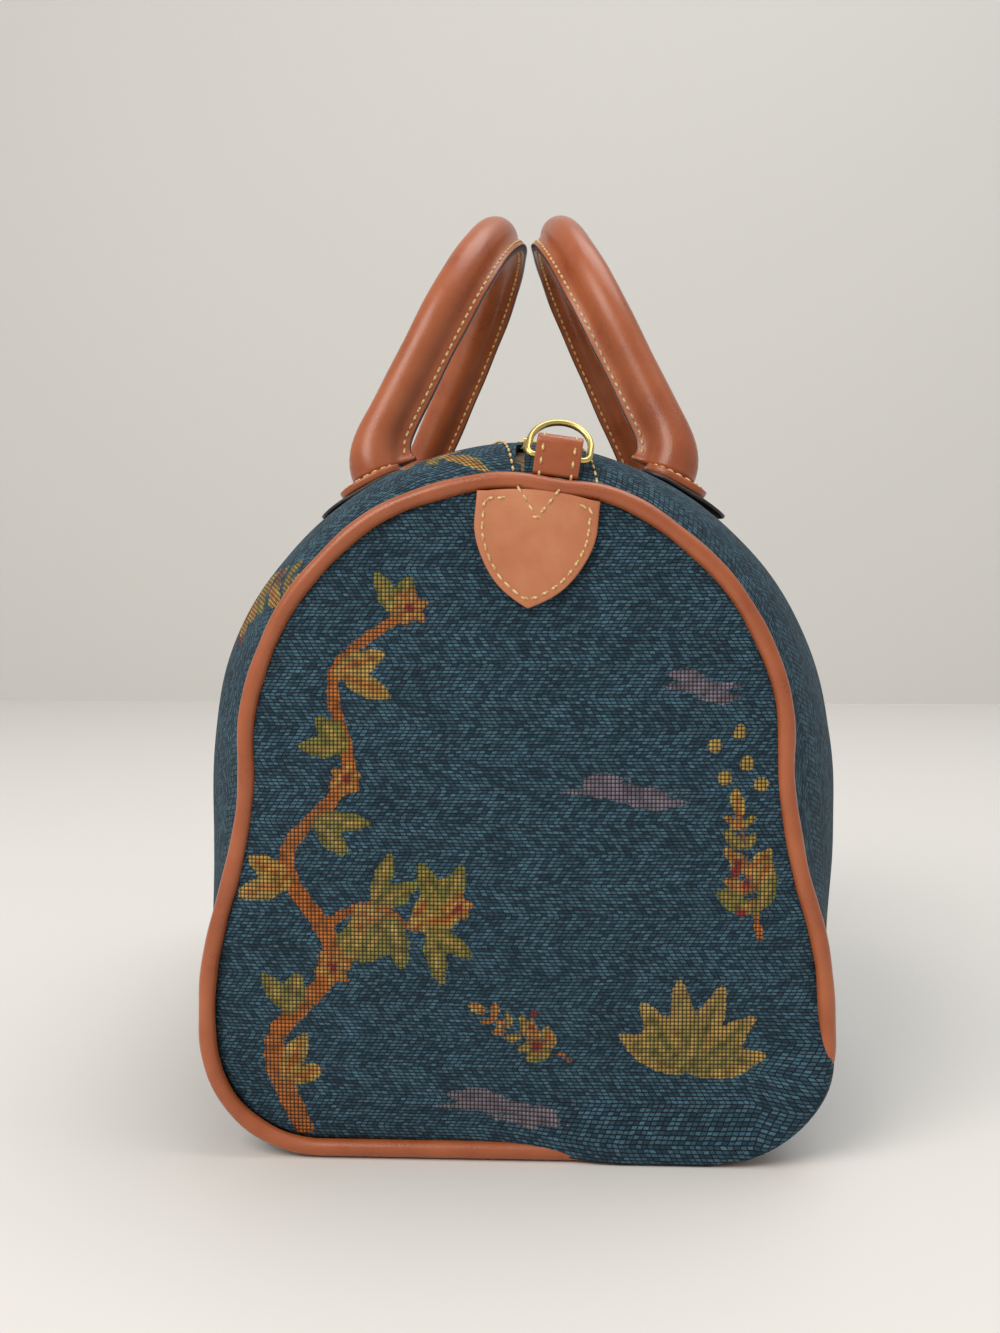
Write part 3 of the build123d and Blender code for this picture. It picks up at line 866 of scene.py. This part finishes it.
# %% [markdown]
# Each rolled handle is a strip of leather closed round a rope and sewn along a flange, whose cut edge
# is painted black. Its legs meet the bag at flattened feet. The flange faces the other handle.

# %% Handle path, from the joints of the frame
HINGE = {j["child"]: np.array(j["pos_m"]) / MM for j in frame["joints"] if j["child"].startswith("handle")}
APEX_X = FLANGE_REACH + 0.3
APEX_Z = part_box("handle_cover_left")[1][2] / MM - HANDLE_RADIUS
# The leather bends below the start of the straight leg, and its foot leans with the shoulder.
LEG_START = 13.0
FOOT_LEAN = math.radians(27)
FOOT_DROP = HANDLE_RADIUS + 1.0
LINE_SAMPLES = 150


def handle_line(side):
    """The middle line from the near foot to the far one, its run, and the flange, up and foot directions."""
    hinge = HINGE["handle_left" if side < 0 else "handle_right"]
    reach = abs(hinge[0]) - APEX_X
    climb = APEX_Z - hinge[2]
    lean = math.atan2(reach, climb)
    rise = math.hypot(reach, climb) - HANDLE_TOP_RADIUS
    half = HANDLE_SPACING / 2
    splay = math.acos(HANDLE_TOP_RADIUS / math.hypot(half, rise)) - math.atan2(rise, half)
    joint = (HANDLE_TOP_RADIUS * math.cos(splay), rise + HANDLE_TOP_RADIUS * math.sin(splay))
    angles = np.linspace(math.pi - splay, splay, 70)
    arch = np.column_stack([HANDLE_TOP_RADIUS * np.cos(angles), rise + HANDLE_TOP_RADIUS * np.sin(angles)])
    leg = np.array([(half - LEG_START * math.sin(splay), LEG_START * math.cos(splay)), joint])
    near = np.linspace(leg[0] * [-1, 1], leg[1] * [-1, 1], 20)[:-1]
    flat = np.vstack([near, arch, (near * [-1, 1])[::-1]])
    up = np.array([-side * math.sin(lean), 0, math.cos(lean)])
    points = hinge + flat[:, :1] * [0, 1, 0] + flat[:, 1:] * up
    flange = np.array([-side * math.cos(lean), 0, -math.sin(lean)])
    normal = np.array([side * math.sin(FOOT_LEAN), 0, math.cos(FOOT_LEAN)])

    def bend(top, y):
        """The turn from the foot at y up into the leg."""
        corner = np.array([hinge[0], y, hinge[2]])
        foot, control = corner - normal * FOOT_DROP, corner + normal * 0.5
        t = np.linspace(0, 1, 14)[:, None]
        return foot * (1 - t) ** 2 + 2 * control * t * (1 - t) + top * t**2

    line = np.vstack([bend(points[0], -half)[:-1], points, bend(points[-1], half)[::-1][1:]])
    line, run = resample(line, LINE_SAMPLES)
    return line, run, flange, up, normal


# %% Handle section: round, with a sewn flange on one side
FLANGE_LIP = np.array([(8.0, -1.75), (9.6, -1.6), (10.45, -1.45), (FLANGE_REACH, -1.1),
                       (FLANGE_REACH, 1.1), (10.45, 1.45), (9.6, 1.6), (8.0, 1.75)])
TUBE_POINTS = 26
# The cut edge lies between two points of the section, and its rounded corners end at the next ones.
LIP_EDGE, LIP_CORNERS = {TUBE_POINTS + 3, TUBE_POINTS + 4}, set(range(TUBE_POINTS + 2, TUBE_POINTS + 6))
FLARE_REACH, FLARE_FIRST, FLARE_SECOND = 11, 0.30, 0.42
SEAM_REACH, SEAM_FACE = 8.8, 1.72


def handle_section(swell_first, swell_second):
    """The section at one place, wider towards the feet."""
    opening = math.radians(24)
    angles = np.linspace(opening, 2 * math.pi - opening, TUBE_POINTS)
    tube = np.column_stack([np.cos(angles), np.sin(angles)]) * HANDLE_RADIUS
    return np.vstack([tube, FLANGE_LIP]) * [swell_first, swell_second]


def make_handle(side, name):
    body_name = "handle_" + name
    line, run, flange, up, normal = handle_line(side)
    to_foot = np.minimum(run, run[-1] - run)
    flare = np.exp(-(to_foot / FLARE_REACH) ** 2)
    wobble = 0.012 * np.sin(run / 9) + 0.008 * np.sin(run / 4.1 + side)
    sections = [handle_section(1 + FLARE_FIRST * f + w, 1 + FLARE_SECOND * f + w)
                for f, w in zip(flare, wobble)]
    piece = draw_along("rolled_" + body_name, line, flange, sections)
    dress(piece, "tan", "black")
    for polygon in piece.data.polygons:
        spots = {v % len(sections[0]) for v in polygon.vertices}
        if len(polygon.vertices) == 4 and spots <= LIP_CORNERS and LIP_EDGE & spots:
            polygon.material_index = 1
    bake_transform(piece)
    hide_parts("handle_cover_" + name)
    # The stitches run along both faces of the flange.
    along = tangents(line, False)
    first = unit(flange - along * (along @ flange)[:, None])
    second = np.cross(along, first)
    to_seam = first * SEAM_REACH * (1 + FLARE_FIRST * flare)[:, None]
    rows = [(line + to_seam + second * face * (SEAM_FACE * (1 + FLARE_SECOND * flare))[:, None])[5:-5]
            for face in (-1, 1)]
    return piece, rows


handle_pieces = {name: make_handle(side, name) for side, name in ((-1, "left"), (1, "right"))}
print("handles", [len(p.data.polygons) for p, _ in handle_pieces.values()])

# %% [markdown]
# Flat leather pieces are laid on a surface. The foot and its black backing lie on the shoulder of the
# bag, and the pointed tab lies on the end panel. A flat outline is filled with rings of points, lifted
# to the surface and given thickness with a soft rolled edge.


# %% A flat leather piece laid on a surface
def rounded_rectangle(low, high, radius, count=12):
    """Outline points, anticlockwise, in millimetres."""
    corners = ((high[0], high[1], 0), (low[0], high[1], 90), (low[0], low[1], 180), (high[0], low[1], 270))
    points = []
    for x, y, start in corners:
        cx = x - math.copysign(radius, x - (low[0] + high[0]) / 2)
        cy = y - math.copysign(radius, y - (low[1] + high[1]) / 2)
        for angle in np.radians(np.linspace(start, start + 90, count)):
            points.append((cx + radius * math.cos(angle), cy + radius * math.sin(angle)))
    return np.array(points)


# How far out each ring of points lies, and how high in the thickness, round the edge
ROLLED_EDGE = [(0.985, 0.0), (1.0, 0.25), (1.0, 0.7), (0.99, 0.93)]


def lay_leather(name, outline, surface, thickness, rings=9):
    """A plate with a rounded edge: rings of points under it, round its edge and over it."""
    centre = outline.mean(0)
    over = [(0.97 * share, 1) for share in np.linspace(1, 0.08, rings)]
    layers = [surface(centre + (outline - centre) * share, thickness * height)
              for share, height in [(0.2, 0), (0.6, 0)] + ROLLED_EDGE + over]
    verts = np.vstack(layers + [surface(centre[None], 0), surface(centre[None], thickness)])
    size = len(outline)
    last = (len(layers) - 1) * size
    pairs = [(c, (c + 1) % size) for c in range(size)]
    faces = grid_faces(len(layers), size, wrap=True)
    faces += [(len(verts) - 2, d, c) for c, d in pairs]
    faces += [(len(verts) - 1, last + c, last + d) for c, d in pairs]
    obj = new_object(name, verts, faces)
    outward(obj)
    return obj


# %% The shoulder of the bag as a surface
def shoulder_surface(side, end, offset):
    """Maps (down the slope, along the bag) at one foot to points offset above the cloth."""
    def place(flat, height):
        flat = np.asarray(flat, float)
        out = []
        for down, along in flat:
            y = end * HANDLE_SPACING / 2 + along
            # Only from the crown to the widest place, where each x is met once.
            outline = right_half(y, 0)[::-1]
            outline = outline[:outline[:, 0].argmax() + 1]
            run = length_along(outline)
            start = np.interp(FOOT_X, outline[:, 0], run)
            at = start + down
            x, z = np.interp(at, run, outline[:, 0]), np.interp(at, run, outline[:, 1])
            x2, z2 = np.interp(at + 1, run, outline[:, 0]), np.interp(at + 1, run, outline[:, 1])
            normal = unit(np.array([z - z2, x2 - x]))
            lift = offset + height
            out.append((side * (x + normal[0] * lift), y, z + normal[1] * lift))
        return np.array(out)
    return place


thread_rows = {"bag": [], "handle_left": [], "handle_right": []}
for side, name in ((-1, "left"), (1, "right")):
    for end, end_name in ((-1, "near"), (1, "far")):
        tag = name + "_" + end_name
        backing = rounded_rectangle((-9.5, -15.5), (22.0, 15.5), 9.0)
        piece = lay_leather("foot_backing_" + tag, backing, shoulder_surface(side, end, 0.2), 1.3)
        dress(piece, "black")
        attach(piece, "bag")
        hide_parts("handle_patch_" + tag)
        foot = rounded_rectangle((-8.0, -13.0), (13.0, 13.0), 8.0)
        surface = shoulder_surface(side, end, 1.6)
        piece = lay_leather("handle_foot_" + tag, foot, surface, 2.5)
        dress(piece, "tan")
        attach(piece, "bag")
        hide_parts("handle_tab_" + tag)
        seam = rounded_rectangle((-6.2, -11.2), (11.2, 11.2), 6.6)
        thread_rows["bag"].append(surface(np.vstack([seam, seam[:1]]), 2.6))
print("feet laid")


# %% Pointed end tabs
TAB_TOP = END_HEIGHT - 5
TAB_HALF, TAB_LENGTH, TAB_SHOULDER = 17.5, 34, 10


def tab_outline():
    """A shield: straight sides at the top, bowing in to a point."""
    tip, shoulder, top = TAB_TOP - TAB_LENGTH, TAB_TOP - TAB_SHOULDER, END_HEIGHT - 5.4
    bow = [(0, tip), (8.6, tip + 5.4), (14.6, tip + 13.6), (TAB_HALF, shoulder)]
    side = smooth_curve(bow, (0.9, 0.45), (0, 1), 26)
    right = np.vstack([side, np.linspace((TAB_HALF, shoulder), (TAB_HALF, top - 1.6), 7)[1:]])
    crown = np.array([(x, CROWN_Z + math.sqrt((CROWN_RADIUS - 5.3) ** 2 - x**2))
                      for x in np.linspace(TAB_HALF, -TAB_HALF, 14)])
    left = (right * [-1, 1])[::-1][:-1]
    return np.vstack([right, crown[1:-1], left])


def turn_on_crown(x, z, shift):
    """Points turned about the centre of the crown, as the slack has moved what is sewn there."""
    turn = math.asin(shift / CROWN_RADIUS)
    z = z - CROWN_Z
    return x * math.cos(turn) + z * math.sin(turn), -x * math.sin(turn) + z * math.cos(turn) + CROWN_Z


def tab_surface(end, shift):
    """Maps flat tab points to the end panel."""
    def place(flat, height):
        x, z = turn_on_crown(*np.asarray(flat, float).T, shift)
        return np.column_stack([x, end * (dome(x, z) + 0.3 + height), z + FLOOR_GAP])
    return place


for end, name, shift in ((-1, "near", NEAR_TAB_SHIFT), (1, "far", TOP_SHIFT)):
    outline = tab_outline()
    surface = tab_surface(end, shift)
    piece = lay_leather("pointed_tab_" + name, outline, surface, 1.8, rings=12)
    dress(piece, "tab")
    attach(piece, "bag")
    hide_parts("end_tab_" + name)
    inner = outline.mean(0) + (outline - outline.mean(0)) * 0.86
    thread_rows["bag"].append(surface(np.vstack([inner[-33:], inner[:33]]), 1.85))
    peak = END_HEIGHT - 5.6
    vee = np.array([(-5.6, peak), (0.2, peak - 7.6), (5.2, peak)])
    vee = np.vstack([np.linspace(vee[0], vee[1], 8), np.linspace(vee[1], vee[2], 8)])
    thread_rows["bag"].append(surface(vee, 1.85))
print("tabs laid")


# %% Strap loops: a narrow strip folded over the ring's bar
LOOP_HEIGHT, LOOP_HALF_WIDTH, LOOP_HALF_THICK = 12.0, 6.6, 0.7
LOOP_UNDER_BAR = 5.6
LOOP_SEAM = 4.6


def make_loop(end, name, shift):
    """The front of the strip goes up from the seam, over the bar and down to the cloth behind."""
    low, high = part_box("ring_loop_" + name)
    y_mid = abs(low[1] + high[1]) / 2 / MM
    y_half = (high[1] - low[1]) / 2 / MM
    ring_pos = next(j["pos_m"] for j in frame["joints"] if j["child"] == "strap_ring_" + name)
    foot = CROWN_Z + math.hypot(ring_pos[0] / MM, ring_pos[2] / MM - CROWN_Z) - LOOP_UNDER_BAR
    centre = y_half - LOOP_HALF_THICK
    top = foot + LOOP_HEIGHT - y_half
    front = np.linspace((-centre, foot + 0.1), (-centre, top), 10)[:-1]
    arc = [(centre * math.cos(a), top + centre * math.sin(a)) for a in np.linspace(math.pi, 0, 14)]
    flat = np.vstack([front, arc, [(centre, top - 1), (centre, foot + 4.4)]])
    x, z = turn_on_crown(np.zeros(len(flat)), flat[:, 1], shift)
    path = np.column_stack([x, -end * (flat[:, 0] - y_mid), z])
    turn = math.asin(shift / CROWN_RADIUS)
    sideways = np.array([math.cos(turn), 0, -math.sin(turn)])
    corner = np.array([LOOP_HALF_WIDTH, LOOP_HALF_THICK])
    section = rounded_rectangle(-corner, corner, 0.5, 4)
    piece = draw_along("strap_loop_" + name, path, sideways, [section] * len(path))
    dress(piece, "tan")
    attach(piece, "bag")
    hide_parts("ring_loop_" + name)
    for place in (-LOOP_SEAM, LOOP_SEAM):
        thread_rows["bag"].append(path[:15] + [0, end * 0.75, 0] + sideways * place)
    return piece


for end, name, shift in ((-1, "near", NEAR_LOOP_SHIFT), (1, "far", TOP_SHIFT)):
    print(make_loop(end, name, shift).name)

# %% [markdown]
# Stitches repeat along a line, so Geometry Nodes make them: the line is resampled at the stitch pitch,
# and a small flattened bead of thread is set at each place, turned to follow the line.


# %% The stitch tree
def stitch_tree():
    tree = bpy.data.node_groups.new("Stitch row", "GeometryNodeTree")
    face = tree.interface
    face.new_socket("Geometry", in_out="INPUT", socket_type="NodeSocketGeometry")
    for label, value in (("Pitch", 0.003), ("Length", 0.0022), ("Width", 0.0008)):
        face.new_socket(label, in_out="INPUT", socket_type="NodeSocketFloat").default_value = value
    face.new_socket("Material", in_out="INPUT", socket_type="NodeSocketMaterial")
    face.new_socket("Geometry", in_out="OUTPUT", socket_type="NodeSocketGeometry")
    given = add_node(tree, "NodeGroupInput").outputs
    curve = add_node(tree, "GeometryNodeMeshToCurve", Mesh=given["Geometry"])
    spaced = add_node(tree, "GeometryNodeResampleCurve", {"mode": "LENGTH"}, Curve=curve.outputs[0])
    tree.links.new(given["Pitch"], spaced.inputs["Length"])
    bead = add_node(tree, "GeometryNodeMeshUVSphere", Segments=6, Rings=5, Radius=0.5)
    size = add_node(tree, "ShaderNodeCombineXYZ", X=given["Width"], Y=given["Width"], Z=given["Length"])
    shaped = add_node(tree, "GeometryNodeTransform", Geometry=bead.outputs[0], Scale=size.outputs[0])
    heading = add_node(tree, "GeometryNodeInputTangent")
    turned = add_node(tree, "FunctionNodeAlignRotationToVector", {"axis": "Z"}, Vector=heading.outputs[0])
    placed = add_node(tree, "GeometryNodeInstanceOnPoints", Points=spaced.outputs[0],
                      Instance=shaped.outputs[0], Rotation=turned.outputs[0])
    real = add_node(tree, "GeometryNodeRealizeInstances", Geometry=placed.outputs[0])
    coloured = add_node(tree, "GeometryNodeSetMaterial", Geometry=real.outputs[0], Material=given["Material"])
    add_node(tree, "NodeGroupOutput", Geometry=coloured.outputs[0])
    return tree


STITCHES = stitch_tree()


def sew(name, rows, width=0.85):
    """Stitches along several lines as one plain mesh."""
    verts, edges = [], []
    for row in rows:
        start = len(verts)
        verts += [tuple(p) for p in np.asarray(row) * MM]
        edges += [(start + i, start + i + 1) for i in range(len(row) - 1)]
    mesh = bpy.data.meshes.new(name)
    mesh.from_pydata(verts, edges, [])
    obj = link_object(name, mesh)
    maker = obj.modifiers.new("stitches", "NODES")
    maker.node_group = STITCHES
    values = {"Pitch": STITCH_PITCH * MM, "Length": STITCH_LENGTH * MM, "Width": width * MM,
              "Material": MATERIALS["thread"]}
    for item in STITCHES.interface.items_tree:
        if item.in_out == "INPUT" and item.name in values:
            maker[item.identifier] = values[item.name]
    apply_modifiers(obj)
    print(name, len(obj.data.polygons), "faces")
    return obj


# %% Topstitching beside the zip
ZIP_SEAM_X = 12.0
# Near the end the seams lean with the strap loop, from this far along the bag.
LEAN_START, LEAN_LENGTH = 100, 42
CROWN_POINTS = 60

for side in (-1, 1):
    rows = []
    for y in body_points[3:ROWS - 3:2, 0, 1]:
        lean = max(0, -y - LEAN_START) / LEAN_LENGTH * (NEAR_LOOP_SHIFT - TOP_SHIFT)
        place = ZIP_SEAM_X * side + TOP_SHIFT + lean
        outline = whole_outline(y, -0.35)
        line = (outline if place > 0 else outline[::-1])[:CROWN_POINTS]
        at = np.interp(abs(place), np.abs(line[:, 0]), np.arange(CROWN_POINTS))
        rows.append((place, y, np.interp(at, np.arange(CROWN_POINTS), line[:, 1])))
    thread_rows["bag"].append(np.array(rows))

piece = sew("thread_on_bag", thread_rows["bag"])
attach(piece, "bag")
for side, name in ((-1, "left"), (1, "right")):
    piece = sew("thread_on_handle_" + name, handle_pieces[name][1], width=1.0)
    _, _, _, up, normal = handle_line(side)
    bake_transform(piece)

# %% [markdown]
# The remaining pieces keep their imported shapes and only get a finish: zip, rings, lining and cords.

# %% Finishes of the rigid pieces
NODE_FINISH = {
    "lining": "lining", "zip_tape_left": "tape", "zip_tape_right": "tape",
    "zip_teeth_left": "brass", "zip_teeth_right": "brass", "zip_top_stops": "brass",
    "zip_bottom_stop": "brass", "zip_slider": "brass", "zip_pull": "brass",
    "strap_ring_near": "brass", "strap_ring_far": "brass",
    "piping_core_near": "cord", "piping_core_far": "cord",
    "handle_core_left": "cord", "handle_core_right": "cord",
}
for node, key in NODE_FINISH.items():
    dress(frame["nodes"][node], key)
print(len(NODE_FINISH), "rigid pieces finished")

# %% [markdown]
# The bag stands on a pale table in front of a pale wall, in soft light from the upper left and front.

# %% Stage, light and camera
def flat_stage(name, corners, colour):
    obj = new_object(name, np.array(corners) / MM, [(0, 1, 2, 3)])
    mat, tree, shader = blank_material(name + "_paint")
    fill(tree, shader, Base_Color=rgba(colour), Roughness=0.6)
    obj.data.materials.append(mat)
    return obj


flat_stage("table", [(-3, -2, 0), (3, -2, 0), (3, 1.6, 0), (-3, 1.6, 0)], "#e4e1dc")
flat_stage("wall", [(-3, 1.6, 0), (3, 1.6, 0), (3, 1.6, 3), (-3, 1.6, 3)], "#d9d7d2")


def area_light(name, place, target, size, power, colour="#ffffff"):
    data = bpy.data.lights.new(name, "AREA")
    data.shape, data.size, data.energy = "DISK", size, power
    data.color = linear(colour)
    lamp = link_object(name, data)
    lamp.location = place
    lamp.rotation_euler = (Vector(target) - Vector(place)).to_track_quat("-Z", "Y").to_euler()


area_light("window", (-1.0, -1.3, 1.5), (0, 0, 0.12), 1.3, 26, "#fff8f0")
area_light("ceiling", (0.5, 0.2, 2.0), (0, 0, 0), 1.6, 18)
world = bpy.data.worlds.new("room")
world.use_nodes = True
fill(world.node_tree, world.node_tree.nodes["Background"], Color=rgba("#eef0f2"), Strength=0.55)
bpy.context.scene.world = world

# The camera looks along the bag from its near end, a little down and a little to the left.
CAMERA_PLACE = (0.016, -0.573, 0.166)
CAMERA_DOWN, CAMERA_LEFT = 3.0, 2.7
camera = link_object("camera", bpy.data.cameras.new("camera"))
camera.data.lens, camera.data.sensor_width = 40.5, 36
camera.location = CAMERA_PLACE
camera.rotation_euler = (math.radians(90 - CAMERA_DOWN), 0, math.radians(CAMERA_LEFT))
bpy.context.scene.camera = camera
bpy.context.scene.view_settings.view_transform = "Standard"
